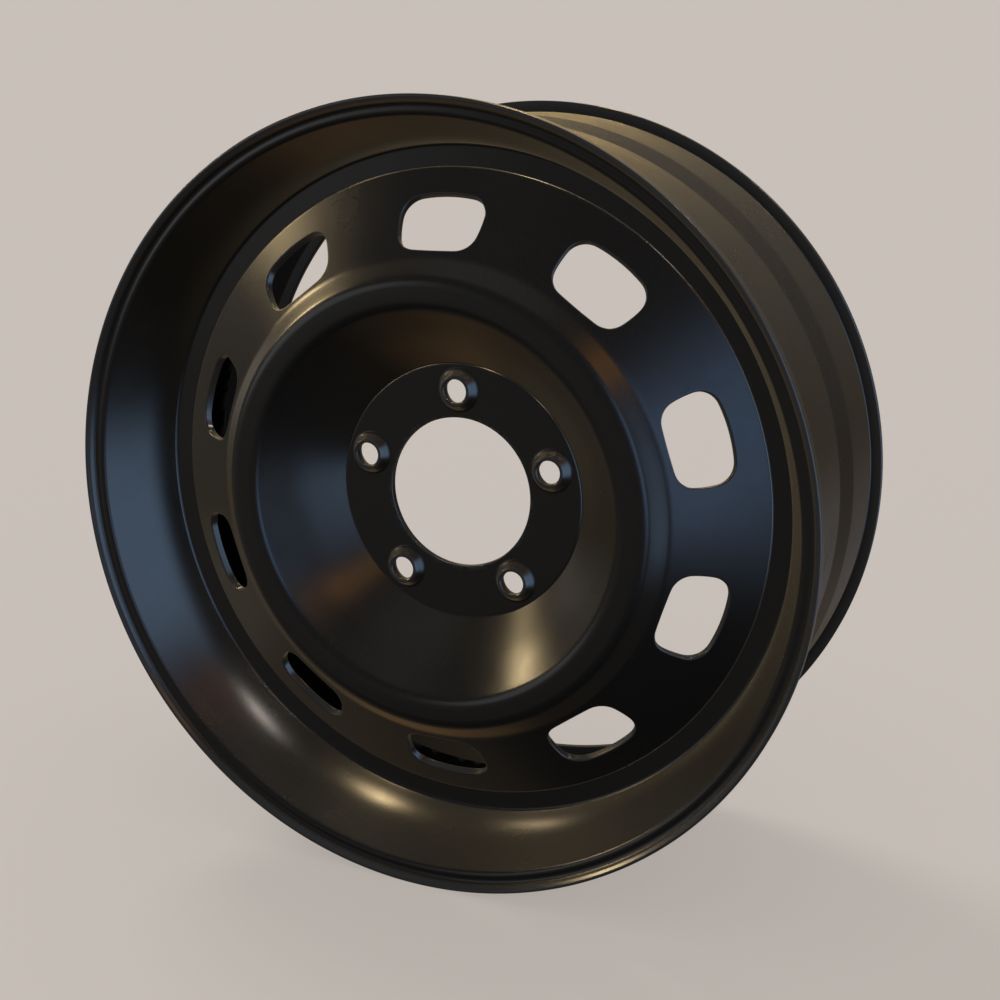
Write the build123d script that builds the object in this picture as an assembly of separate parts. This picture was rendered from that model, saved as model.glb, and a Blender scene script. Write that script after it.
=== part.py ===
from build123d import *
import math
import os

# Steel road wheel, two pressed pieces joined by stitch welds. Millimetres, +Z up.
# The wheel stands upright: it spins about +Y, its face looks toward -Y and the hub side is +Y.
# The origin is the wheel's centre, halfway between the two flange edges.
# Sections are drawn as (radius, depth), where depth is measured inboard from the outboard edge.

# Overall
WIDTH = 168.7             # edge to edge along the axis

# Where the disc sits in the rim: every radius of the rim is stepped out from here
SEAT_R = 174.5            # disc flange outside and rim ledge bore, one press fit
LEDGE_WIDTH = 10.1
LEDGE_STEP = 3.3          # from the ledge out to the end of the dish wall
DISC_PROUD = 0.96         # the disc's edge stands this far out of the ledge
DISC_TUCK = 25.5          # and its flange runs this far in behind it

# Rim radii, each from the one inside it
WELL_STEP = 23.6          # outside of the shallow well, from the disc's seat
SHOULDER_RISE = 3.0       # the slope from the well up to the inboard seat
BEAD_RISE = 4.7           # bead seats at the flanges, above the well
FLANGE_RISE = 6.3         # flanges above the bead seats
SEAT_TAPER = 0.4          # the outboard seat leans this much either way
LIP_REACH = 9.6           # inboard lip, inward from the bead seat

LEDGE_OUT_R = SEAT_R + LEDGE_WIDTH
WELL_R = SEAT_R + WELL_STEP
SHOULDER_R = WELL_R + SHOULDER_RISE
BEAD_R = WELL_R + BEAD_RISE
FLANGE_R = BEAD_R + FLANGE_RISE
LIP_IN_R = BEAD_R - LIP_REACH

# Rim depths
SEAT_INNER_DEPTH = 22.0   # the outboard seat ends
WELL_START = 30.0
WELL_END = 101.7
SHOULDER_DEPTH = 123.4

# Hub fixing
BORE_R = 41.9             # centre bore
LUG_PCR = 114.3 / 2       # radius of the stud circle
LUG_COUNT = 5
LUG_HOLE_R = 6.5
PAD_R = 72.5              # where the flat pad meets the bowl
PAD_DEPTH = 57.6          # front face of the pad

# Sheet
DISC_T = 4.2
RIM_T = 2.4
FLANGE_T = 3.8            # the flange edges are folded double

# Lug bosses, pressed outboard out of the pad
BOSS_H = 5.6
BOSS_TOP_R = 8.3
BOSS_BASE_R = 11.4
BOSS_BACK_R = 9.0

# Vent windows, measured square to the sloping face
WINDOW_COUNT = 10
WINDOW_MID_R = 146.4
WINDOW_MID_DEPTH = 36.05
WINDOW_HALF_LEN = 14.2    # middle to the corners, up the slope
WINDOW_OUTER_HALF = 23.2
WINDOW_INNER_HALF = 19.15
WINDOW_OUTER_BULGE = 3.1  # each edge bows outward by this much in its middle
WINDOW_INNER_BULGE = 0.7
WINDOW_SIDE_BULGE = 1.9
WINDOW_CORNER_R = 11.0
FACE_SLOPE = 31.9         # degrees, the window face against the wheel's plane

# Crown and bowl
CROWN_DEPTH = 15.8
CROWN_IN_R = 106.3
CROWN_OUT_R = 119.0
FACE_START_R = 131.0

# Outboard edge and dish wall of the rim
EDGE_WIDTH = 1.6          # rounded crest of the edge
GROOVE_IN = 2.8           # thin groove inside the crest, below the flange's outside
GROOVE_DEPTH = 1.7
RING_IN = 4.1             # the flat ring runs from here in to the crease
RING_DEPTH = 4.2
DISH_RISE = 15.0          # crease above the ledge's outer edge
DISH_SLOPE = 15.5         # degrees against the axis
DISH_END_SLOPE = 40.0
SLOT_DEPTH = 15.5         # bottom of the gap between the dish wall and the barrel
CREASE_R = LEDGE_OUT_R + DISH_RISE

# Valve hole
VALVE_R = 5.75
VALVE_DEPTH = 35.5
VALVE_ANGLE = 54.0        # degrees clockwise from the top, seen from the face

# Stitch welds behind the ledge
WELD_COUNT = 10
WELD_LEG = 5.0
WELD_SPAN = 22.0          # degrees of arc each

HALF = WIDTH / 2
TAN_FACE = math.tan(math.radians(FACE_SLOPE))


def face_depth(r):
    """Depth of the window face's front at a radius."""
    return WINDOW_MID_DEPTH + (r - WINDOW_MID_R) * TAN_FACE


LEDGE_DEPTH = face_depth(SEAT_R) + DISC_PROUD
LEDGE_EDGE_DEPTH = LEDGE_DEPTH - LEDGE_STEP
DISC_FLANGE_END = LEDGE_DEPTH + DISC_TUCK


def rounded_outline(points):
    """Closed face from (radius, depth, corner radius) points."""
    n = len(points)
    xy = [Vector(p[0], p[1] - HALF) for p in points]
    cuts = []
    for i in range(n):
        corner = xy[i]
        before = xy[i - 1] - corner
        after = xy[(i + 1) % n] - corner
        size = points[i][2]
        if size <= 0:
            cuts.append((corner, None, corner))
            continue
        a = before.normalized()
        b = after.normalized()
        half = math.acos(max(-1.0, min(1.0, a.dot(b)))) / 2
        reach = min(size / math.tan(half), before.length * 0.49, after.length * 0.49)
        size = reach * math.tan(half)
        bisector = (a + b).normalized()
        middle = corner + bisector * (size / math.sin(half) - size)
        cuts.append((corner + a * reach, middle, corner + b * reach))
    edges = []
    for i in range(n):
        start, middle, end = cuts[i]
        if middle is not None:
            edges.append(ThreePointArc(start, middle, end).edge())
        nxt = cuts[(i + 1) % n][0]
        if (nxt - end).length > 1e-4:
            edges.append(Line(end, nxt).edge())
    return Face(Wire(edges))


def turned(face):
    """Full solid of revolution about the wheel's axis."""
    return revolve(face, Axis.Y, 360)


def offset_path(points, gap):
    """Path moved sideways by gap, to the left of its direction, with matching corner radii."""
    shifted = []
    dirs = []
    for (r0, d0, _), (r1, d1, _) in zip(points, points[1:]):
        length = math.hypot(r1 - r0, d1 - d0)
        dirs.append(((r1 - r0) / length, (d1 - d0) / length))
    for i, (r, d, size) in enumerate(points):
        if i == 0 or i == len(points) - 1:
            ux, uy = dirs[0] if i == 0 else dirs[-1]
            shifted.append((r - uy * gap, d + ux * gap, 0))
            continue
        (ax, ay), (bx, by) = dirs[i - 1], dirs[i]
        mx, my = -(ay + by), ax + bx
        scale = gap / (1 + ax * bx + ay * by)
        turn = ax * by - ay * bx
        other = size - gap if turn > 0 else size + gap
        shifted.append((r + mx * scale, d + my * scale, max(other, 0.5)))
    return shifted


# Disc section, from the bore to the end of its flange, front surface first
pad_start = (BORE_R, PAD_DEPTH, 0)
disc_front = [
    pad_start,
    (PAD_R, PAD_DEPTH, 2.5),
    (CROWN_IN_R, CROWN_DEPTH, 8.0),
    (CROWN_OUT_R, CROWN_DEPTH, 8.0),
    (FACE_START_R, face_depth(FACE_START_R), 14.0),
    (SEAT_R, face_depth(SEAT_R), 1.6),
    (SEAT_R, DISC_FLANGE_END, 0),
]
disc_back = offset_path(disc_front, DISC_T)
disc = turned(rounded_outline(disc_front + disc_back[::-1]))


def window_cutter():
    """Four-sided block with bowed edges through the top window, square to the sloping face."""
    cos_face = math.cos(math.radians(FACE_SLOPE))
    sin_face = math.sin(math.radians(FACE_SLOPE))
    middle = Vector(0, WINDOW_MID_DEPTH - HALF, WINDOW_MID_R)
    along = Vector(0, sin_face, cos_face)
    across = Vector(1, 0, 0)
    plane = Plane(origin=middle, x_dir=across, z_dir=across.cross(along))
    corners = [
        (-WINDOW_INNER_HALF, -WINDOW_HALF_LEN),
        (WINDOW_INNER_HALF, -WINDOW_HALF_LEN),
        (WINDOW_OUTER_HALF, WINDOW_HALF_LEN),
        (-WINDOW_OUTER_HALF, WINDOW_HALF_LEN),
    ]
    bulges = [WINDOW_INNER_BULGE, WINDOW_SIDE_BULGE, WINDOW_OUTER_BULGE, WINDOW_SIDE_BULGE]
    with BuildSketch(plane) as outline:
        with BuildLine():
            for i, bulge in enumerate(bulges):
                (x0, y0), (x1, y1) = corners[i], corners[(i + 1) % 4]
                length = math.hypot(x1 - x0, y1 - y0)
                bowed = (
                    (x0 + x1) / 2 + (y1 - y0) / length * bulge,
                    (y0 + y1) / 2 - (x1 - x0) / length * bulge,
                )
                ThreePointArc((x0, y0), bowed, (x1, y1))
        make_face()
        fillet(outline.vertices(), WINDOW_CORNER_R)
    return extrude(outline.sketch, 14, both=True)


def turned_block(profile, at_r):
    """Solid turned about an axis parallel to the wheel's, from (distance, depth, radius) points."""
    face = rounded_outline(profile)
    return Pos(0, 0, at_r) * revolve(face, Axis.Y, 360)


def around(solid, count, start=0.0):
    """Copies of a solid spaced evenly round the wheel's axis, the first at the top."""
    return [Rot(0, start + 360 / count * k, 0) * solid for k in range(count)]


# Raised boss at the top stud hole, hollow behind
boss = turned_block([
    (0, PAD_DEPTH - BOSS_H, 0),
    (BOSS_TOP_R, PAD_DEPTH - BOSS_H, 1.8),
    (BOSS_BASE_R, PAD_DEPTH, 1.5),
    (BOSS_BASE_R + 1.6, PAD_DEPTH + 0.6, 0),
    (0, PAD_DEPTH + 0.6, 0),
], LUG_PCR)
boss_hollow = turned_block([
    (0, PAD_DEPTH - BOSS_H + DISC_T, 0),
    (LUG_HOLE_R + 0.8, PAD_DEPTH - BOSS_H + DISC_T, 0),
    (BOSS_BACK_R, PAD_DEPTH + DISC_T + 1, 0),
    (0, PAD_DEPTH + DISC_T + 1, 0),
], LUG_PCR)
stud_hole = turned_block([
    (0, PAD_DEPTH - BOSS_H - 1, 0),
    (LUG_HOLE_R + 1.6, PAD_DEPTH - BOSS_H - 1, 0),
    (LUG_HOLE_R, PAD_DEPTH - BOSS_H + 0.8, 0),
    (LUG_HOLE_R, PAD_DEPTH + DISC_T + 1, 0),
    (0, PAD_DEPTH + DISC_T + 1, 0),
], LUG_PCR)

for piece in around(boss, LUG_COUNT):
    disc = disc + piece
for piece in around(boss_hollow, LUG_COUNT) + around(stud_hole, LUG_COUNT):
    disc = disc - piece
for piece in around(window_cutter(), WINDOW_COUNT):
    disc = disc - piece

# Rim section: one rolled strip, folded back at the outboard edge to make the dish wall
tan_dish = math.tan(math.radians(DISH_SLOPE))
tan_end = math.tan(math.radians(DISH_END_SLOPE))
wall_depth = CREASE_R - LEDGE_OUT_R + RING_DEPTH * tan_dish + LEDGE_EDGE_DEPTH * -tan_end
wall_depth = wall_depth / (tan_dish - tan_end)
wall_r = CREASE_R - (wall_depth - RING_DEPTH) * tan_dish
dish_front = [
    (CREASE_R, RING_DEPTH, 1.0),
    (wall_r, wall_depth, 24.0),
    (LEDGE_OUT_R, LEDGE_EDGE_DEPTH, 0.8),
    (LEDGE_OUT_R, LEDGE_DEPTH, 0.6),
    (SEAT_R, LEDGE_DEPTH, 0),
]
dish_back = offset_path(dish_front, -RIM_T)
slot_r = dish_back[0][0] - (SLOT_DEPTH - dish_back[0][1]) * tan_dish
ring_back = RING_DEPTH + FLANGE_T
seat_start = BEAD_R + SEAT_TAPER
seat_end = BEAD_R - SEAT_TAPER
tyre_side = [
    (FLANGE_R, 0, 0.8),
    (FLANGE_R, ring_back, 2.0),
    (seat_start, ring_back, 1.5),
    (seat_end, SEAT_INNER_DEPTH, 5.0),
    (WELL_R, WELL_START, 5.0),
    (WELL_R, WELL_END, 12.0),
    (SHOULDER_R, SHOULDER_DEPTH, 12.0),
    (BEAD_R, WIDTH - FLANGE_T, 0.8),
    (FLANGE_R, WIDTH - FLANGE_T, 0.8),
    (FLANGE_R, WIDTH, 0.8),
    (LIP_IN_R, WIDTH, 0.8),
    (LIP_IN_R, WIDTH - FLANGE_T, 0.8),
]
hub_side = [
    (BEAD_R - RIM_T, WIDTH - FLANGE_T, 0.8),
    (SHOULDER_R - RIM_T, SHOULDER_DEPTH, 12.0),
    (WELL_R - RIM_T, WELL_END, 12.0),
    (WELL_R - RIM_T, WELL_START, 5.0),
    (seat_end - RIM_T, SEAT_INNER_DEPTH, 5.0),
    (seat_start - RIM_T - 0.1, SLOT_DEPTH, 0.5),
    (slot_r, SLOT_DEPTH, 0.5),
]
edge_bead = [
    (FLANGE_R - RING_IN, RING_DEPTH, 0.8),
    (FLANGE_R - GROOVE_IN, GROOVE_DEPTH, 0.4),
    (FLANGE_R - EDGE_WIDTH, 0, 0.7),
]
rim = turned(rounded_outline(
    tyre_side + hub_side + dish_back[1:] + dish_front[::-1] + edge_bead
))
valve = Pos(0, VALVE_DEPTH - HALF, (CREASE_R + WELL_R) / 2) * Cylinder(VALVE_R, 4 * WELL_STEP)
rim = rim - Rot(0, VALVE_ANGLE, 0) * valve

# Stitch welds: short fillet beads in the corner between the ledge's back and the disc's flange
corner = LEDGE_DEPTH + RIM_T
bead = rounded_outline([
    (SEAT_R, corner, 0),
    (SEAT_R + WELD_LEG, corner, 0),
    (SEAT_R + WELD_LEG * 0.62, corner + WELD_LEG * 0.62, 1.6),
    (SEAT_R, corner + WELD_LEG, 0),
])
first = Rot(0, -WELD_SPAN / 2, 0) * bead  # the section starts at three o'clock, between two windows
bead_solid = revolve(first, Axis.Y, WELD_SPAN)
weld_beads = Compound(children=[b for b in around(bead_solid, WELD_COUNT)])

os.makedirs("parts", exist_ok=True)
export_step(disc, "parts/disc.step")
export_step(rim, "parts/rim.step")
export_step(weld_beads, "parts/weld_beads.step")
for name, shape in (("disc", disc), ("rim", rim), ("weld_beads", weld_beads)):
    print(name, round(shape.volume / 1000, 1), "cm3", shape.bounding_box(), len(shape.solids()))
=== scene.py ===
import bmesh
import bpy
import math
import numpy as np
from mathutils import Matrix, Vector


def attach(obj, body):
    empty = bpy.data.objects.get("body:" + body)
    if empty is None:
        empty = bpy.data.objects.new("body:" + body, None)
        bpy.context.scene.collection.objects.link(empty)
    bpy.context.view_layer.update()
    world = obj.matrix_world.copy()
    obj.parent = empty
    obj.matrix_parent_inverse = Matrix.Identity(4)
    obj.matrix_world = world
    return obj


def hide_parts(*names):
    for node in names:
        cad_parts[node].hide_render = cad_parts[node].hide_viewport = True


# A dished steel road wheel in satin black: one rolled rim, one pressed disc, ten stitch welds.
# Sections are (radius, depth) in millimetres, the depth measured inboard from the outboard edge.
# A point at angle A clockwise from the top, seen from the face, is at
# (radius * sin A, depth - half the width, radius * cos A).

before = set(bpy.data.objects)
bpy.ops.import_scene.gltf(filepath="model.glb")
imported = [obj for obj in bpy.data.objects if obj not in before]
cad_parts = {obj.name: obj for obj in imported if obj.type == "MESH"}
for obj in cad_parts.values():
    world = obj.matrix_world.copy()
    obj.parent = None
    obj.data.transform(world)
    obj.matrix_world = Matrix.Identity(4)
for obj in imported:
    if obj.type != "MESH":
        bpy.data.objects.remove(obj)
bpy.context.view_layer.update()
scene = bpy.context.scene
scene.view_settings.view_transform = "Standard"

MM = 0.001
WIDTH = 168.7
HALF = WIDTH / 2
FLOOR_Z = -209.1 * MM

# the disc
BORE_R, PAD_R, PAD_DEPTH = 41.9, 72.5, 57.6
DISC_T, SEAT_R, DISC_PROUD = 4.2, 174.5, 0.96
FACE_MID_R, FACE_MID_DEPTH, FACE_SLOPE = 146.4, 36.05, math.radians(31.9)
LEDGE_DEPTH = FACE_MID_DEPTH + (SEAT_R - FACE_MID_R) * math.tan(FACE_SLOPE) + DISC_PROUD
WINDOWS, WINDOW_ROUND = 10, 11.0
WINDOW_CORNERS = [(-19.15, -14.2), (19.15, -14.2), (23.2, 14.2), (-23.2, 14.2)]
WINDOW_BULGES = (0.7, 1.9, 3.1, 1.9)
WINDOW_LIP_FRONT, WINDOW_LIP_BACK = 0.9, 0.6
OUTLINE_STEPS = 60
STUDS, STUD_R, HOLE_R = 5, 57.15, 6.5
BOSS_H, BOSS_BASE_R, BOSS_TOP_R, BOSS_BACK_R = 5.6, 11.4, 8.3, 8.74
# the rim
RIM_T, FLANGE_T, DISH_TILT = 2.4, 3.8, math.radians(21.0)
FLANGE_R, BEAD_R, WELL_R, SHOULDER_R, SEAT_TAPER = 209.1, 202.8, 198.1, 201.1, 0.4
SEAT_INNER, WELL_START, WELL_END, SHOULDER_DEPTH, SLOT_DEPTH = 22.0, 30.0, 101.7, 123.4, 15.5
VALVE_ANGLE, VALVE_DEPTH, VALVE_R = math.radians(54), 35.5, 5.75
CREASE_R, LIP_IN_R = 199.6, 193.2


def linear(hex_colour):
    """sRGB hex to linear RGBA, by the standard curve: a straight toe, then a 2.4 power."""
    parts = (int(hex_colour[i:i + 2], 16) / 255 for i in (1, 3, 5))
    rgb = [c / 12.92 if c <= 0.04045 else ((c + 0.055) / 1.055) ** 2.4 for c in parts]
    return (*rgb, 1.0)


# Sections

def bend(points, turn=9.0, run=3.0):
    """Open path through corner points (radius, depth, corner radius).

    Each corner is an arc tangent to both of its runs, cut into steps of at most `turn` degrees
    or of its own fourth number. Each straight run is cut into equal lengths of at most `run`
    millimetres, which is one number or a list with one for each run.
    Returns the points and, for each run between corners, where its straight part starts and ends.
    """
    xy = [np.array(p[:2], float) for p in points]
    cuts = []
    for i, p in enumerate(points):
        if i in (0, len(points) - 1) or p[2] <= 0:
            cuts.append([xy[i]])
            continue
        before, after = xy[i - 1] - xy[i], xy[i + 1] - xy[i]
        a, b = before / np.hypot(*before), after / np.hypot(*after)
        half = math.acos(float(np.clip(a @ b, -1, 1))) / 2
        # a corner may use half of a run that it shares, and all of an end run
        room_before = np.hypot(*before) * (1.0 if i == 1 else 0.49)
        room_after = np.hypot(*after) * (1.0 if i == len(points) - 2 else 0.49)
        reach = min(p[2] / math.tan(half), room_before, room_after)
        size = reach * math.tan(half)
        middle = xy[i] + (a + b) / np.hypot(*(a + b)) * size / math.sin(half)
        spokes = [xy[i] + a * reach - middle, xy[i] + b * reach - middle]
        start, end = (math.atan2(s[1], s[0]) for s in spokes)
        sweep = (end - start + math.pi) % (2 * math.pi) - math.pi
        steps = max(2, math.ceil(abs(math.degrees(sweep)) / (p[3] if len(p) > 3 else turn)))
        angles = start + sweep * np.linspace(0, 1, steps + 1)
        cuts.append([middle + size * np.array([math.cos(t), math.sin(t)]) for t in angles])
    out, runs = list(cuts[0]), []
    for i in range(1, len(points)):
        start, end = out[-1], cuts[i][0]
        length = np.hypot(*(end - start))
        longest = run[i - 1] if isinstance(run, list) else run
        count = max(1, math.ceil(length / longest)) if length > 1e-6 else 0
        first = len(out) - 1
        out += [start + (end - start) * k / count for k in range(1, count + 1)]
        runs.append((first, len(out) - 1))
        out += cuts[i][1:]
    return np.array(out), runs


def beside(points, gap):
    """The same path moved by gap to the left of its direction, with corner radii to match."""
    step = [np.subtract(b[:2], a[:2]) for a, b in zip(points, points[1:])]
    step = [d / np.hypot(*d) for d in step]
    out = []
    for i, (r, s, size) in enumerate(points):
        if i in (0, len(points) - 1):
            d = step[0] if i == 0 else step[-1]
            out.append((r - d[1] * gap, s + d[0] * gap, 0))
            continue
        a, b = step[i - 1], step[i]
        scale = gap / (1 + a @ b)
        left = a[0] * b[1] - a[1] * b[0] > 0
        size = max(size - gap if left else size + gap, 0.5)
        out.append((r - (a[1] + b[1]) * scale, s + (a[0] + b[0]) * scale, size))
    return out


def turned(section, columns):
    """Grid of points: every section point carried round the wheel's axis in equal steps."""
    angle = 2 * math.pi * np.arange(columns) / columns
    r, s = section[:, :1], section[:, 1:]
    y = np.broadcast_to(s - HALF, (len(section), columns))
    return np.stack([r * np.sin(angle), y, r * np.cos(angle)], -1)


class Sheet:
    """Points and quads gathered from grids, made into one mesh with shared edges merged."""

    def __init__(self):
        self.points, self.quads, self.marks, self.count = [], [], [], 0

    def grid(self, points, closed=True, keep=None, mark=0.0):
        """Adds a grid of points (rows, columns, 3), its columns joined into a ring if closed.

        keep masks its cells, and mark says how near each point is to an edge where the paint is
        thin and which is lightened into a painted highlight line."""
        rows, columns = points.shape[:2]
        index = self.count + np.arange(rows * columns).reshape(rows, columns)
        right = np.roll(index, -1, 1) if closed else index[:, 1:]
        left = index if closed else index[:, :-1]
        quads = np.stack([left[:-1], right[:-1], right[1:], left[1:]], -1)
        quads = quads[keep] if keep is not None else quads.reshape(-1, 4)
        self.points.append(points.reshape(-1, 3))
        self.marks.append(np.broadcast_to(np.asarray(mark, float), (rows, columns)).reshape(-1))
        self.quads.append(quads.reshape(-1, 4))
        self.count += rows * columns
        return self

    def made(self, name, material, slot, replaced):
        """Smooth mesh object in metres at the origin, riding on the wheel in place of a node."""
        points = np.concatenate(self.points) * MM
        quads = np.concatenate(self.quads)
        mesh = bpy.data.meshes.new(name)
        mesh.vertices.add(len(points))
        mesh.vertices.foreach_set("co", points.astype(np.float32).ravel())
        mesh.loops.add(quads.size)
        mesh.loops.foreach_set("vertex_index", quads.astype(np.int32).ravel())
        mesh.polygons.add(len(quads))
        mesh.polygons.foreach_set("loop_start", np.arange(0, quads.size, 4, dtype=np.int32))
        mesh.update(calc_edges=True)
        # the edge values lighten worn edges and also paint highlight lines along them
        edge = mesh.attributes.new("edge", "FLOAT", "POINT")
        edge.data.foreach_set("value", np.concatenate(self.marks).astype(np.float32))
        cleaned = bmesh.new()
        cleaned.from_mesh(mesh)
        bmesh.ops.remove_doubles(cleaned, verts=cleaned.verts, dist=2e-6)
        loose = [v for v in cleaned.verts if not v.link_faces]
        bmesh.ops.delete(cleaned, geom=loose, context="VERTS")
        bmesh.ops.recalc_face_normals(cleaned, faces=cleaned.faces)
        cleaned.to_mesh(mesh)
        cleaned.free()
        mesh.shade_smooth()
        mesh.materials.append(material)
        obj = bpy.data.objects.new(name, mesh)
        scene.collection.objects.link(obj)
        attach(obj, "root")
        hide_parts(replaced)
        return obj


# The disc

COLUMNS = 300
FACE_START_R, CROWN_DEPTH, FLANGE_BACK = 130.1, 15.8, 25.1
# corners of the front, each with its radius, depth and corner radius, from the bore out:
# pad, bowl wall (bulged by its large corner radius), crown, sloping face, flange
DISC_FRONT = [
    (BORE_R + 0.6, PAD_DEPTH, 0), (PAD_R, PAD_DEPTH, 2.5), (89.4, 35.6, 215),
    (106.3, CROWN_DEPTH, 8), (120.1, CROWN_DEPTH, 9),
    (FACE_START_R, FACE_MID_DEPTH + (FACE_START_R - FACE_MID_R) * math.tan(FACE_SLOPE), 14),
    (SEAT_R, LEDGE_DEPTH - DISC_PROUD, 1.6), (SEAT_R, LEDGE_DEPTH + FLANGE_BACK, 0),
]
# the longest cell in each straight run of it
DISC_RUNS = [2.1, 4.0, 4.0, 4.5, 3.0, 2.1, 5.0]
# round the pad the front has a fine coined groove that its back doesn't show
GROOVE_DEPTH = PAD_DEPTH + 0.8
PAD_GROOVE = [
    (71.3, PAD_DEPTH, 0.5, 26), (71.5, GROOVE_DEPTH, 0.2, 26), (71.95, GROOVE_DEPTH, 0.5, 26),
]
# columns of cells that a window and a stud hole take out, each side of their middle
WINDOW_SPAN, STUD_SPAN = 11, 14
# radii where a window's block of cells ends, on the front and on the back
WINDOW_BLOCK_FRONT, WINDOW_BLOCK_BACK = 165.0, 162.6


def window_outline():
    """Directions from a window's middle and the distance to its outline in each, seen square to it.

    The four corners are joined by arcs that bow outward. Inside each corner a circle touches both
    arcs; its middle is where the two arcs, each shrunk by the circle's radius, cross.
    """
    corners = np.array(WINDOW_CORNERS)
    arcs = []
    for a, b, bulge in zip(corners, np.roll(corners, -1, 0), WINDOW_BULGES):
        half = np.hypot(*(b - a)) / 2
        size = (half ** 2 + bulge ** 2) / (2 * bulge)
        outward = np.array([b[1] - a[1], a[0] - b[0]]) / (2 * half)
        arcs.append(((a + b) / 2 + outward * (bulge - size), size))
    middles = []
    for i in range(4):
        (c0, s0), (c1, s1) = arcs[i - 1], arcs[i]
        apart = np.hypot(*(c1 - c0))
        along = (c1 - c0) / apart
        s0, s1 = s0 - WINDOW_ROUND, s1 - WINDOW_ROUND
        reach = (s0 ** 2 - s1 ** 2 + apart ** 2) / (2 * apart)
        side = math.sqrt(s0 ** 2 - reach ** 2)
        both = [c0 + along * reach + s * side * np.array([-along[1], along[0]]) for s in (-1, 1)]
        middles.append(min(both, key=lambda p: np.hypot(*(p - corners[i]))))
    loop = []
    for i in range(4):
        for middle, size, a, b in (
            (middles[i], WINDOW_ROUND, middles[i] - arcs[i - 1][0], middles[i] - arcs[i][0]),
            (arcs[i][0], arcs[i][1], middles[i] - arcs[i][0], middles[(i + 1) % 4] - arcs[i][0]),
        ):
            start = math.atan2(a[1], a[0])
            sweep = (math.atan2(b[1], b[0]) - start + math.pi) % (2 * math.pi) - math.pi
            angles = start + sweep * np.linspace(0, 1, OUTLINE_STEPS)[:-1]
            loop.append(middle + size * np.stack([np.cos(angles), np.sin(angles)], 1))
    loop = np.concatenate(loop)
    return np.arctan2(loop[:, 1], loop[:, 0]), np.hypot(loop[:, 0], loop[:, 1])


def around_block(rows, columns):
    """Row and column numbers round a block of cells, each point once, in order."""
    (r0, r1), (c0, c1) = rows, columns
    row = [r0] * (c1 - c0) + list(range(r0, r1)) + [r1] * (c1 - c0) + list(range(r1, r0, -1))
    column = list(range(c0, c1)) + [c1] * (r1 - r0) + list(range(c1, c0, -1)) + [c0] * (r1 - r0)
    return np.array(row), np.array(column)


def wheel_point(u, z, s):
    """Wheel axes in millimetres from across, up and depth."""
    return np.stack([u, s - HALF, z], -1)


def window_rings(front, back, rows_front, rows_back, columns):
    """Rings from a block's edge on the front, over the window's lip, through its wall and behind.

    Between the block and the window a ring point slides evenly in radius and angle, on the cone.
    At the window it follows its own direction from the middle: a small quarter circle turns it
    from the face into the wall, and a smaller one turns it out onto the back.
    """
    slope, cos_f, sin_f = math.tan(FACE_SLOPE), math.cos(FACE_SLOPE), math.sin(FACE_SLOPE)
    directions, reach = window_outline()
    row, column = around_block(rows_front, columns)
    angle = 2 * math.pi * column / COLUMNS
    radius, depth = front[row, 0], front[row, 1]
    up_slope = (radius * np.cos(angle) - FACE_MID_R) * cos_f + (depth - FACE_MID_DEPTH) * sin_f
    way = np.arctan2(up_slope, radius * np.sin(angle))
    edge = np.interp(way, directions, reach, period=2 * math.pi)

    def on_cone(out, lift, behind):
        """Across, up and depth of the points at a distance from the window's middle.

        behind is 0 for the front surface and the sheet's thickness for the back, and lift is how
        far below that surface they lie. The sink that puts them on the cone is found in 6 steps."""
        u, v = out * np.cos(way), out * np.sin(way)
        sink = np.zeros_like(u)
        for _ in range(6):
            z = FACE_MID_R + v * cos_f - sink * sin_f
            s = FACE_MID_DEPTH + v * sin_f + sink * cos_f
            cone = FACE_MID_DEPTH + (np.hypot(u, z) - FACE_MID_R) * slope + behind / cos_f
            sink = sink + (cone - s) * cos_f
        sink = sink + lift
        return u, FACE_MID_R + v * cos_f - sink * sin_f, FACE_MID_DEPTH + v * sin_f + sink * cos_f

    rings, marks = [], []

    def slide(r_from, a_from, out, behind, steps):
        """Rings on the cone between a block's edge and the start of the window's rounding."""
        u, z, _ = on_cone(out, 0, behind)
        r_to, a_to = np.hypot(u, z), np.arctan2(u, z)
        for f in steps:
            r, a = r_from + (r_to - r_from) * f, a_from + (a_to - a_from) * f
            s = FACE_MID_DEPTH + (r - FACE_MID_R) * slope + behind / cos_f
            rings.append(wheel_point(r * np.sin(a), r * np.cos(a), s))
            marks.append(0.0)

    slide(radius, angle, edge + WINDOW_LIP_FRONT, 0, 1 - (1 - np.linspace(0, 1, 9)) ** 1.5)
    for degrees, lip, side, behind, mark in (
        (np.arange(15, 91, 15), WINDOW_LIP_FRONT, 1, 0, 1.0),
        ((90, 60, 30), WINDOW_LIP_BACK, -1, DISC_T, 0.7),
    ):
        for t in np.radians(degrees):
            out, lift = edge + lip * (1 - math.sin(t)), side * lip * (1 - math.cos(t))
            rings.append(wheel_point(*on_cone(out, lift, behind)))
            marks.append(mark)
    row, _ = around_block(rows_back, columns)
    slide(back[row, 0], angle, edge + WINDOW_LIP_BACK, DISC_T, np.linspace(1, 0, 7))
    return np.stack(rings), np.array(marks)[:, None]


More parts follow.
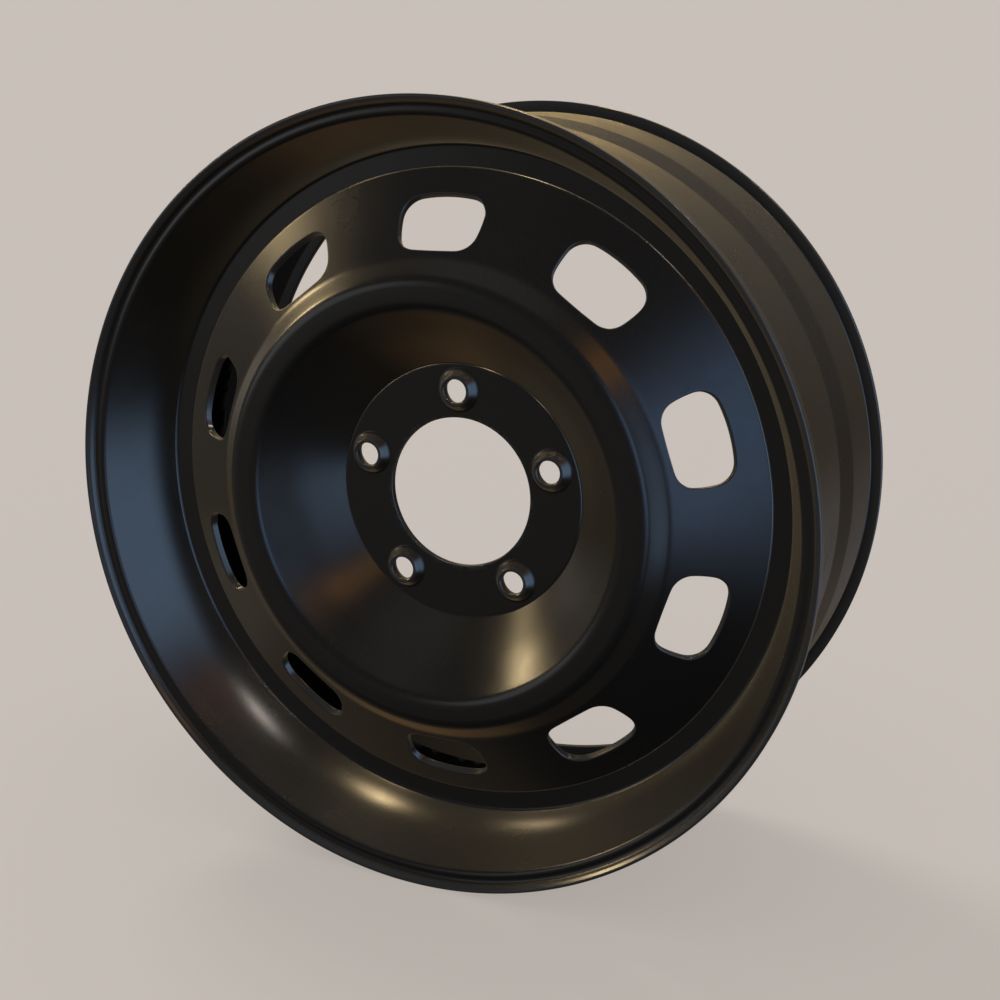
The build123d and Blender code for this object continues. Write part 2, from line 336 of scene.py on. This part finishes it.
def stud_rings(front, back, rows_front, rows_back, columns):
    """Rings from a block's edge on the pad, up the boss, through the stud hole and out behind.

    Near the boss every ring is a circle about the stud, with radius and depth from one section.
    """
    ring_r, boss_top, pad_back = 12.9, PAD_DEPTH - BOSS_H, PAD_DEPTH + DISC_T
    hole_top, hole_end = PAD_DEPTH - 4.8, PAD_DEPTH - 1.4
    section, _ = bend([
        (ring_r, PAD_DEPTH, 0), (BOSS_BASE_R, PAD_DEPTH, 1.9), (BOSS_TOP_R, boss_top, 1.5),
        (HOLE_R + 0.7, boss_top, 0.5), (HOLE_R, hole_top, 0.6), (HOLE_R, hole_end, 0.3),
        (HOLE_R + 0.8, hole_end, 0.3), (BOSS_BACK_R, pad_back, 0.8), (ring_r, pad_back, 0),
    ], turn=14, run=1.6)
    row, column = around_block(rows_front, columns)
    angle = 2 * math.pi * column / COLUMNS
    x, z = front[row, 0] * np.sin(angle), front[row, 0] * np.cos(angle)
    way = np.arctan2(z - STUD_R, x)
    rings, marks = [], []

    def slide(x_from, z_from, depth, steps):
        """Flat rings between a block's edge and the circle where the boss starts."""
        x_to, z_to = ring_r * np.cos(way), STUD_R + ring_r * np.sin(way)
        for f in steps:
            x, z = x_from + (x_to - x_from) * f, z_from + (z_to - z_from) * f
            rings.append(wheel_point(x, z, np.full(len(way), depth)))
            marks.append(0.0)

    slide(x, z, PAD_DEPTH, np.linspace(0, 1, 5))
    for r, s in section[1:-1]:
        rings.append(wheel_point(r * np.cos(way), STUD_R + r * np.sin(way), np.full(len(way), s)))
        marks.append(1.0 if s < hole_top + 0.4 else 0.0)
    row, _ = around_block(rows_back, columns)
    x, z = back[row, 0] * np.sin(angle), back[row, 0] * np.cos(angle)
    slide(x, z, pad_back, np.linspace(1, 0, 5))
    return np.stack(rings), np.array(marks)[:, None]


def spun(points, degrees):
    """Points turned clockwise about the wheel's axis, seen from the face."""
    c, s = math.cos(math.radians(degrees)), math.sin(math.radians(degrees))
    x, y, z = points[..., 0], points[..., 1], points[..., 2]
    return np.stack([x * c + z * s, y, z * c - x * s], -1)


def disc_pressing(material):
    """The disc as one closed shell: its section turned about the axis, with each window and stud
    cut out as a block of cells and filled again with rings that fit its outline."""
    front_points = DISC_FRONT[:1] + PAD_GROOVE + DISC_FRONT[2:]
    front, front_runs = bend(front_points, run=DISC_RUNS[:1] + [1.0, 1.0] + DISC_RUNS[1:])
    back, back_runs = bend(beside(DISC_FRONT, DISC_T), run=DISC_RUNS)
    cones, pads = [], []
    for section, runs, block_r in (
        (front, front_runs, WINDOW_BLOCK_FRONT), (back, back_runs, WINDOW_BLOCK_BACK),
    ):
        first, last = runs[-2]
        cones.append((first, first + int(np.argmin(np.abs(section[first:last + 1, 0] - block_r)))))
        pads.append(runs[0])
    # front and back blocks need the same number of rows
    window_rows = min(last - first for first, last in cones)
    stud_rows = min(last - first for first, last in pads)
    windows = [(first, first + window_rows) for first, _ in cones]
    studs = [(first, first + stud_rows) for first, _ in pads]
    across_window, across_stud = (-WINDOW_SPAN, WINDOW_SPAN), (-STUD_SPAN, STUD_SPAN)
    sheet = Sheet()
    for section, window, stud in zip((front, back), windows, studs):
        keep = np.ones((len(section) - 1, COLUMNS), bool)
        for (first, last), across, count in (
            (window, across_window, WINDOWS), (stud, across_stud, STUDS),
        ):
            for k in range(count):
                keep[first:last, (np.arange(*across) + COLUMNS // count * k) % COLUMNS] = False
        sheet.grid(turned(section, COLUMNS), keep=keep)
    for rings_of, blocks, across, count in (
        (window_rings, windows, across_window, WINDOWS), (stud_rings, studs, across_stud, STUDS),
    ):
        rings, marks = rings_of(front, back, *blocks, across)
        for k in range(count):
            sheet.grid(spun(rings, 360 / count * k), mark=marks)
    # the bore and the flange's end close the shell, with rounded edges
    inner, outer = (tuple(section[0]) + (0,) for section in (front, back))
    bore, _ = bend([inner, (BORE_R, PAD_DEPTH, 0.6), (BORE_R, PAD_DEPTH + DISC_T, 0.6), outer])
    end = front[-1][1] + 0.4
    inner, outer = (tuple(section[-1]) + (0,) for section in (front, back))
    tail, _ = bend([inner, (SEAT_R, end, 0.4), (SEAT_R - DISC_T, end, 0.4), outer])
    sheet.grid(turned(bore, COLUMNS), mark=0.8)
    sheet.grid(turned(tail, COLUMNS), mark=0.8)
    return sheet.made("disc_pressing", material, "disc_paint", "disc")


# The rim

def rim_strip(material):
    """The rim as one closed ring: its section turned about the axis in 360 steps.

    The section runs along the tyre side, over the inboard lip, back along the hub side, round the
    gap behind the dish wall, down that wall's front and over the outboard edge."""
    # the dish wall runs straight and then bends softly into a steeper foot above the ledge
    dish, ring_depth, foot_depth = math.tan(DISH_TILT), 4.2, 35.8
    foot_r = CREASE_R - (foot_depth - ring_depth) * dish
    dish_front = [
        (CREASE_R, ring_depth, 3.0), (foot_r, foot_depth, 55), (foot_r - 1.5, LEDGE_DEPTH, 1.8),
        (SEAT_R, LEDGE_DEPTH, 0),
    ]
    dish_back = beside(dish_front, -RIM_T)
    slot_r = dish_back[0][0] - (SLOT_DEPTH - dish_back[0][1]) * dish
    inboard, flange_inner = WIDTH - FLANGE_T, 8.0
    seat_high, seat_low = BEAD_R + SEAT_TAPER, BEAD_R - SEAT_TAPER
    points = [
        # tyre side, from the well to the inboard flange and its lip
        (WELL_R, 60, 0), (WELL_R, WELL_END, 12), (SHOULDER_R, SHOULDER_DEPTH, 12),
        (BEAD_R, inboard, 0.8), (FLANGE_R, inboard, 0.8), (FLANGE_R, WIDTH, 0.8),
        (LIP_IN_R, WIDTH, 0.8), (LIP_IN_R, inboard, 0.8),
        # hub side, back to the bottom of the gap
        (BEAD_R - RIM_T, inboard, 0.8), (SHOULDER_R - RIM_T, SHOULDER_DEPTH, 12),
        (WELL_R - RIM_T, WELL_END, 12), (WELL_R - RIM_T, WELL_START, 5),
        (seat_low - RIM_T, SEAT_INNER, 5), (seat_high - RIM_T - 0.1, SLOT_DEPTH, 0.5),
        # the dish wall's back, the ledge and the dish wall's front
        (slot_r, SLOT_DEPTH, 0.5), *dish_back[1:-1], (SEAT_R, LEDGE_DEPTH + RIM_T, 0.3),
        (SEAT_R, LEDGE_DEPTH, 0.3), *dish_front[-2::-1],
        # the outboard edge, with a shallow valley inside its crest, and the outboard seat
        (FLANGE_R - 4.5, 5.0, 3.0), (FLANGE_R - 2.8, 1.7, 0.4), (FLANGE_R - 1.6, 0, 0.7),
        (FLANGE_R, 0, 0.8), (FLANGE_R, flange_inner, 2), (seat_high, flange_inner, 1.5),
        (seat_low, SEAT_INNER, 5), (WELL_R, WELL_START, 5), (WELL_R, 60, 0),
    ]
    section, _ = bend(points, turn=12, run=9.0)
    # paint is thin on the crest of the outboard edge and on the inboard lip's inner corner, and
    # there it is also lightened into a painted highlight line
    r, s = section.T
    worn_and_highlit_edge = (r > FLANGE_R - 3.1) | ((s > inboard - 0.5) & (r < LIP_IN_R + 1))
    strip = Sheet().grid(turned(section, 360), mark=worn_and_highlit_edge.astype(float)[:, None])
    return strip.made("rim_strip", material, "rim_paint", "rim")


# The stitch welds

WELDS, WELD_SPAN, WELD_START = 10, math.radians(22), math.radians(18)


def stitch_welds(material):
    """Ten fillet beads laid in the corner between the back of the ledge and the disc's flange.

    The cross-section is a loop: along the ledge's back, along the flange, and a convex face
    between them. It is carried along the arc. Its size swells and pinches with every weld puddle
    that freezes on the last, and closes as a quarter ellipse at both ends."""
    corner = LEDGE_DEPTH + RIM_T
    leg, puddle, taper = 4.9, 3.1, 4.5
    sink_r, sink_s = -0.25, -0.2
    t = np.linspace(0, 1, 15)
    face = leg * np.stack([np.cos(t * math.pi / 2), np.sin(t * math.pi / 2)], 1) ** 1.25
    loop = np.concatenate([[(sink_r, sink_s)], face])
    lag = np.concatenate([[0], 2.4 * np.sin(math.pi * t)])
    sheet = Sheet()
    rng = np.random.default_rng(7)
    for k in range(WELDS):
        half = WELD_SPAN / 2 * SEAT_R * rng.uniform(0.97, 1.0)
        along = np.linspace(-half, half, 150)
        past = np.clip(np.abs(along) - (half - taper), 0, None) / taper
        close = np.sqrt(np.clip(1 - past ** 2, 0, 1))
        slow = 0.03 * np.sin(along / 7 + rng.uniform(0, 6))
        quick = 0.02 * np.sin(along / 2.7 + rng.uniform(0, 6))
        wave = np.cos(2 * math.pi * (along[:, None] - lag) / puddle)
        size = close[:, None] * (0.93 + (slow + quick)[:, None] + 0.045 * wave)
        r = SEAT_R + np.maximum(loop[:, 0] * size, sink_r)
        s = corner + np.maximum(loop[:, 1] * size, sink_s)
        a = WELD_START + 2 * math.pi * k / WELDS + along[:, None] / SEAT_R
        points = np.stack([r * np.sin(a), s - HALF, r * np.cos(a)], -1)
        sheet.grid(points)
        for ring in (points[0], points[-1]):
            sheet.grid(np.stack([ring, np.broadcast_to(ring.mean(0), ring.shape)]))
    return sheet.made("stitch_welds", material, "weld_paint", "weld_beads")


def bored(rim):
    """Cuts the valve hole through the dish wall and the barrel, and keeps its edges crisp."""
    n, middle, reach = 64, 191.0 * MM, 30.0 * MM
    t = 2 * math.pi * np.arange(n) / n
    x, y = VALVE_R * MM * np.cos(t), VALVE_R * MM * np.sin(t)
    ends = [np.stack([x, y, np.full(n, z)], 1) for z in (-reach, reach)]
    sides = [[i, (i + 1) % n, n + (i + 1) % n, n + i] for i in range(n)]
    caps = [list(range(n - 1, -1, -1)), list(range(n, 2 * n))]
    mesh = bpy.data.meshes.new("bit")
    mesh.from_pydata(np.concatenate(ends).tolist(), [], sides + caps)
    bit = bpy.data.objects.new("bit", mesh)
    scene.collection.objects.link(bit)
    outward = Vector((math.sin(VALVE_ANGLE), 0, math.cos(VALVE_ANGLE)))
    place = outward * middle + Vector((0, (VALVE_DEPTH - HALF) * MM, 0))
    aim = outward.to_track_quat("Z", "Y").to_matrix().to_4x4()
    mesh.transform(Matrix.Translation(place) @ aim)
    cut = rim.modifiers.new("valve_hole", "BOOLEAN")
    cut.operation, cut.solver, cut.object = "DIFFERENCE", "EXACT", bit
    evaluated = rim.evaluated_get(bpy.context.evaluated_depsgraph_get())
    settled = bpy.data.meshes.new_from_object(evaluated)
    rim.modifiers.clear()
    rim.data = settled
    settled.name = "rim_strip"
    settled.set_sharp_from_angle(angle=math.radians(40))
    bpy.data.objects.remove(bit)
    return rim


def painted_shade_inside(piece, material, deepest_r, first_s, last_s):
    """Another material, a darker and duller copy of the paint, as painted shade on faces that look
    at the axis between two depths.
    """
    piece.data.materials.append(material)
    for face in piece.data.polygons:
        x, y, z = face.center
        r = math.hypot(x, z)
        toward_axis = -(face.normal.x * x + face.normal.z * z) / r
        inside = 150 < r / MM < deepest_r and first_s < y / MM + HALF < last_s
        if inside and toward_axis > 0.3:
            face.material_index = 1


def even_shading(obj):
    """Lets the large flat faces set the normals, so that only the rounded corners bend light."""
    obj.modifiers.new("even_shading", "WEIGHTED_NORMAL").keep_sharp = True


# Paint

def add(tree, kind, settings=None, **links):
    """Adds a node and sets its properties or sockets by name.

    Links go into the named inputs, or into the numbered one for i0, i1 and so on."""
    node = tree.nodes.new(kind)
    for name, value in (settings or {}).items():
        if isinstance(name, int) or name in node.inputs:
            node.inputs[name].default_value = value
        else:
            setattr(node, name, value)
    for name, source in links.items():
        numbered = name[0] == "i" and name[1:].isdigit()
        tree.links.new(source, node.inputs[int(name[1:]) if numbered else name])
    return node


def maths(tree, operation, *values):
    """Output of a node that reckons with sockets and fixed floats, in the order of its inputs."""
    numbers = {i: v for i, v in enumerate(values) if isinstance(v, float)}
    sockets = {f"i{i}": v for i, v in enumerate(values) if not isinstance(v, float)}
    return add(tree, "ShaderNodeMath", {"operation": operation, **numbers}, **sockets).outputs[0]


def noise(tree, place, scale, detail, roughness=0.5):
    """Noise between 0 and 1, scale being its cycles in a metre."""
    settings = {"Scale": scale, "Detail": detail, "Roughness": roughness}
    return add(tree, "ShaderNodeTexNoise", settings, Vector=place).outputs["Fac"]


def spread(tree, source, low, high, to_low, to_high):
    """Maps the range from low to high onto another and stops at its ends."""
    settings = {"From Min": low, "From Max": high, "To Min": to_low, "To Max": to_high}
    return add(tree, "ShaderNodeMapRange", settings, Value=source).outputs["Result"]


def satin_paint(name, colour, rough, peel=0.000004, wave=0.00003, dust=0.3, shine=0.5):
    """Satin black baked paint on pressed steel: deep black, with the soft broken gloss of a spray.

    rough is the middle of the gloss range. peel and wave are heights in metres of the paint's skin
    and of the pressed steel under it. shine is the strength of the gloss, 0.5 for the open paint;
    lower values dim it as painted shade."""
    material = bpy.data.materials.new(name)
    material.use_nodes = True
    tree = material.node_tree
    shader = tree.nodes["Principled BSDF"]
    place = add(tree, "ShaderNodeTexCoord").outputs["Object"]
    # gloss drifts over 40 mm patches, and a finer 6 mm cloud breaks it up
    broad, fine = noise(tree, place, 25, 3, 0.55), noise(tree, place, 170, 2, 0.6)
    mixed = maths(tree, "MULTIPLY_ADD", fine, 0.35, broad)
    gloss = spread(tree, mixed, 0.42, 0.92, rough - 0.035, rough + 0.035)
    # over the rounded edges paint draws thin and smooth and lets a little of the grey steel
    # through; the lighter grey also paints highlight lines along those edges
    edge = add(tree, "ShaderNodeAttribute", {"attribute_name": "edge"}).outputs["Fac"]
    gloss = maths(tree, "MULTIPLY_ADD", edge, -0.05, gloss)
    tree.links.new(gloss, shader.inputs["Roughness"])
    paint_and_highlit_edge = {"data_type": "RGBA", "A": linear(colour), "B": linear("#26272A")}
    worn_and_highlit = add(tree, "ShaderNodeMix", paint_and_highlit_edge, Factor=edge)
    # settled dust, in specks of about 0.5 mm, thicker where the surface looks up
    speck = spread(tree, noise(tree, place, 1800, 1), 0.58, 0.80, 0.0, dust)
    normal = add(tree, "ShaderNodeNewGeometry").outputs["Normal"]
    up = add(tree, "ShaderNodeSeparateXYZ", Vector=normal).outputs["Z"]
    settled = spread(tree, up, -0.2, 1.0, 0.08, 1.0)
    share = maths(tree, "MULTIPLY", speck, settled)
    dusty = add(tree, "ShaderNodeMix", {"data_type": "RGBA", "B": linear("#4A443E")}, Factor=share)
    tree.links.new(worn_and_highlit.outputs[2], dusty.inputs[6])
    tree.links.new(dusty.outputs[2], shader.inputs["Base Color"])
    # the skin of the paint, 1.6 mm across, over the 45 mm swells of the pressed steel
    skin, swell = noise(tree, place, 620, 1.5), noise(tree, place, 22, 1)
    low = add(tree, "ShaderNodeBump", {"Strength": 1.0, "Distance": wave}, Height=swell).outputs[0]
    high = {"Strength": 1.0, "Distance": peel}
    high = add(tree, "ShaderNodeBump", high, Height=skin, Normal=low).outputs[0]
    tree.links.new(high, shader.inputs["Normal"])
    shader.inputs["IOR"].default_value = 1.33
    shader.inputs["Specular IOR Level"].default_value = shine
    return material


disc = disc_pressing(satin_paint("satin_black_disc", "#0C0B0B", 0.25))
rim = bored(rim_strip(satin_paint("satin_black_rim", "#0C0B0B", 0.25)))
# painted shade behind the windows and inside the barrel: darker copies of the paint with dimmer
# gloss
shaded_paint_behind_windows = satin_paint("shaded_matt_paint", "#060505", 0.62, dust=0.2, shine=0.0)
shaded_barrel_paint = satin_paint("shaded_satin_paint", "#080707", 0.5, dust=0.2, shine=0.07)
painted_shade_inside(rim, shaded_barrel_paint, 201, 57.5, 164)
painted_shade_inside(disc, shaded_paint_behind_windows, 171, 50, 90)
weld_paint = satin_paint("black_over_weld", "#0E0D0D", 0.42, peel=0.00002, wave=0.0001, dust=1.0)
welds = stitch_welds(weld_paint)
for piece in (disc, rim, welds):
    even_shading(piece)
    # the gloss shows the room and not the wheel itself, as in the photograph
    piece.visible_glossy = False

# Camera

# from the wheel toward the lens, then the lens's place, both fitted to the photograph
back = Vector((0.39457, -0.88272, 0.25520)).normalized()
spot = Vector((0.321381, -0.691264, 0.190670))
right = Vector((0, 0, 1)).cross(back).normalized()
turn = Matrix((right, back.cross(right), back)).transposed().to_4x4()
lens = bpy.data.cameras.new("photo_view")
lens.lens, lens.sensor_width = 50, 36
camera = bpy.data.objects.new("photo_view", lens)
camera.matrix_world = Matrix.Translation(spot) @ turn
scene.collection.objects.link(camera)
scene.camera = camera

# Floor and light

PALE = "#C8C0B9"


def staged(name, points, faces):
    """Mesh object that belongs to the studio and not to the wheel."""
    mesh = bpy.data.meshes.new(name)
    mesh.from_pydata(points.tolist(), [], faces)
    obj = bpy.data.objects.new(name, mesh)
    scene.collection.objects.link(obj)
    material = bpy.data.materials.new(name)
    material.use_nodes = True
    material.node_tree.nodes.clear()
    mesh.materials.append(material)
    return obj, material.node_tree


def pale_world():
    """Even white light from all round. The camera sees it in the floor's colour, no horizon."""
    light = (0.68, 0.68, 0.68, 1)
    scene.world = bpy.data.worlds.new("even_light")
    scene.world.use_nodes = True
    tree = scene.world.node_tree
    air = tree.nodes["Background"]
    path = add(tree, "ShaderNodeLightPath").outputs
    seen = path["Is Camera Ray"]
    for ray in ("Is Glossy Ray", "Is Transmission Ray"):
        seen = maths(tree, "MAXIMUM", seen, path[ray])
    colours = {"data_type": "RGBA", "A": light, "B": linear(PALE)}
    tint = add(tree, "ShaderNodeMix", colours, Factor=seen)
    tree.links.new(tint.outputs[2], air.inputs["Color"])
    scene.world.cycles_visibility.glossy = False


def pale_floor():
    """Matt round sheet out to 60 m. Its flat colour is two thirds, which keeps shadows light."""
    n, reach = 96, 60
    angle = 2 * math.pi * np.arange(n) / n
    points = np.stack([reach * np.cos(angle), reach * np.sin(angle), np.full(n, FLOOR_Z)], 1)
    floor, tree = staged("pale_floor", points, [list(range(n))])
    matt = add(tree, "ShaderNodeBsdfDiffuse", {"Color": linear(PALE)}).outputs[0]
    flat = add(tree, "ShaderNodeEmission", {"Color": linear(PALE)}).outputs[0]
    seen = add(tree, "ShaderNodeLightPath").outputs["Is Camera Ray"]
    share = maths(tree, "MULTIPLY", seen, 0.68)
    both = add(tree, "ShaderNodeMixShader", i0=share, i1=matt, i2=flat).outputs[0]
    add(tree, "ShaderNodeOutputMaterial", Surface=both)
    floor.visible_glossy = False


# what the gloss of the paint sees: azimuth (0 in front of the face, 90 to its right), elevation,
# half width and half height in degrees, colour, radiance, and the power of the fade
SOFT_BOXES = [
    (46, 4, 9, 24, "#A2CAFF", 4.4, 4),
    (95, 4, 24, 30, "#ABCFF8", 5.4, 6),
    (60, 42, 5, 8, "#FFB45C", 6.5, 2),
    (103, 45, 8, 7, "#FFA870", 2.3, 2),
    (129, 52, 4, 4, "#FFF2E6", 78.0, 2),
    (-90, 27, 4, 4.5, "#FFE2AC", 55.0, 2),
    (-98, 28, 11, 11, "#FFD9A3", 0.8, 2),
    (-110, 3, 7, 11, "#F2E6DA", 0.6, 2),
    (-50, 12, 22, 13, "#EEF0F2", 1.6, 8),
    (-165, 58, 5, 5, "#FFE2AC", 95.0, 2),
    (-135, 27, 3, 3, "#FFE0B0", 22.0, 2),
    (-118, 44, 22, 22, "#FFDCA0", 0.4, 4),
    (-162, 11, 13, 9, "#FFD688", 0.8, 2),
    (-138, -61, 23, 20, "#FFC07C", 0.26, 5),
    (172, -18, 12, 8, "#E4E4FF", 0.09, 4),
    (-106, -27, 14, 8, "#FFF2EA", 0.09, 6),
]


def room_light(azimuth, elevation):
    """Linear colour of the room in each direction, in degrees, without the soft boxes.

    The ground is brightest ahead of the face and dark behind it, and falls off low down ahead.
    The sky is dim grey and brighter overhead. One fades into the other over 15 degrees near the
    horizon ahead and over 35 behind. Away from the face both turn warm."""
    away = np.abs((azimuth + 180) % 360 - 180)
    ahead = np.clip((90 - away) / 30, 0, 1)
    low_ahead = np.interp(elevation, [-80, -50, -34, -18], [0.15, 0.25, 0.4, 1])
    low_behind = np.interp(elevation, [-80, -65, -50], [1.0, 0.8, 1])
    ground = np.interp(away, [60, 100, 120, 140], [0.37, 0.17, 0.10, 0.12])
    ground = ground * (ahead * low_ahead + (1 - ahead) * low_behind)
    sky = 0.3 + 0.35 * np.clip((elevation - 55) / 15, 0, 1)
    rise = np.clip((elevation + 5) / np.interp(away, [80, 130], [15, 35]), 0, 1)
    warm = np.clip((away - 60) / 50, 0, 1)[..., None]
    ground_tint = np.array([1.0, 0.95, 0.90]) - warm * np.array([0, 0.16, 0.40])
    sky_tint = np.array([1.0, 0.95, 0.91]) - warm * np.array([0, 0.09, 0.25])
    return (ground * (1 - rise))[..., None] * ground_tint + (sky * rise)[..., None] * sky_tint


def reflected_room():
    """Dome of 6 m radius that only gloss sees, with the room's light and the soft boxes on it.

    Each box fades as exp(-(across / half width) ** power - (up / half height) ** power)."""
    radius = 6
    azimuth, elevation = np.meshgrid(np.arange(0, 360, 1.5), np.linspace(-89.5, 89.5, 120))
    a, e = np.radians(azimuth), np.radians(elevation)
    ways = np.stack([np.sin(a) * np.cos(e), -np.cos(a) * np.cos(e), np.sin(e)], -1)
    points = radius * ways.reshape(-1, 3)
    index = np.arange(len(points)).reshape(azimuth.shape)
    after = np.roll(index, -1, 1)
    faces = np.stack([index[:-1], index[1:], after[1:], after[:-1]], -1).reshape(-1, 4).tolist()
    dome, tree = staged("reflected_room", points, faces)
    light = room_light(azimuth, elevation)
    for az, el, wide, tall, colour, radiance, power in SOFT_BOXES:
        across = (azimuth - az + 180) % 360 - 180
        fade = np.exp(-np.abs(across / wide) ** power - np.abs((elevation - el) / tall) ** power)
        light = light + radiance * fade[..., None] * np.array(linear(colour)[:3])
    opaque = np.ones(light.shape[:2] + (1,))
    paint = dome.data.color_attributes.new("light", "FLOAT_COLOR", "POINT")
    paint.data.foreach_set("color", np.concatenate([light, opaque], -1).astype(np.float32).ravel())
    shown = add(tree, "ShaderNodeAttribute", {"attribute_name": "light"}).outputs["Color"]
    glow = add(tree, "ShaderNodeEmission", Color=shown).outputs[0]
    add(tree, "ShaderNodeOutputMaterial", Surface=glow)
    dome.data.materials[0].cycles.emission_sampling = "NONE"
    dome.visible_camera = dome.visible_shadow = False
    dome.visible_diffuse = dome.visible_transmission = False


pale_world()
pale_floor()
reflected_room()

# a wide soft sun, high up behind the wheel and to the left, throws the shadow
sun = bpy.data.lights.new("soft_key", "SUN")
sun.energy, sun.angle = 1.3, math.radians(24)
key = bpy.data.objects.new("soft_key", sun)
place = Vector((-0.55, 0.35, 0.78))
key.matrix_world = place.to_track_quat("Z", "Y").to_matrix().to_4x4()
key.visible_glossy = False
scene.collection.objects.link(key)
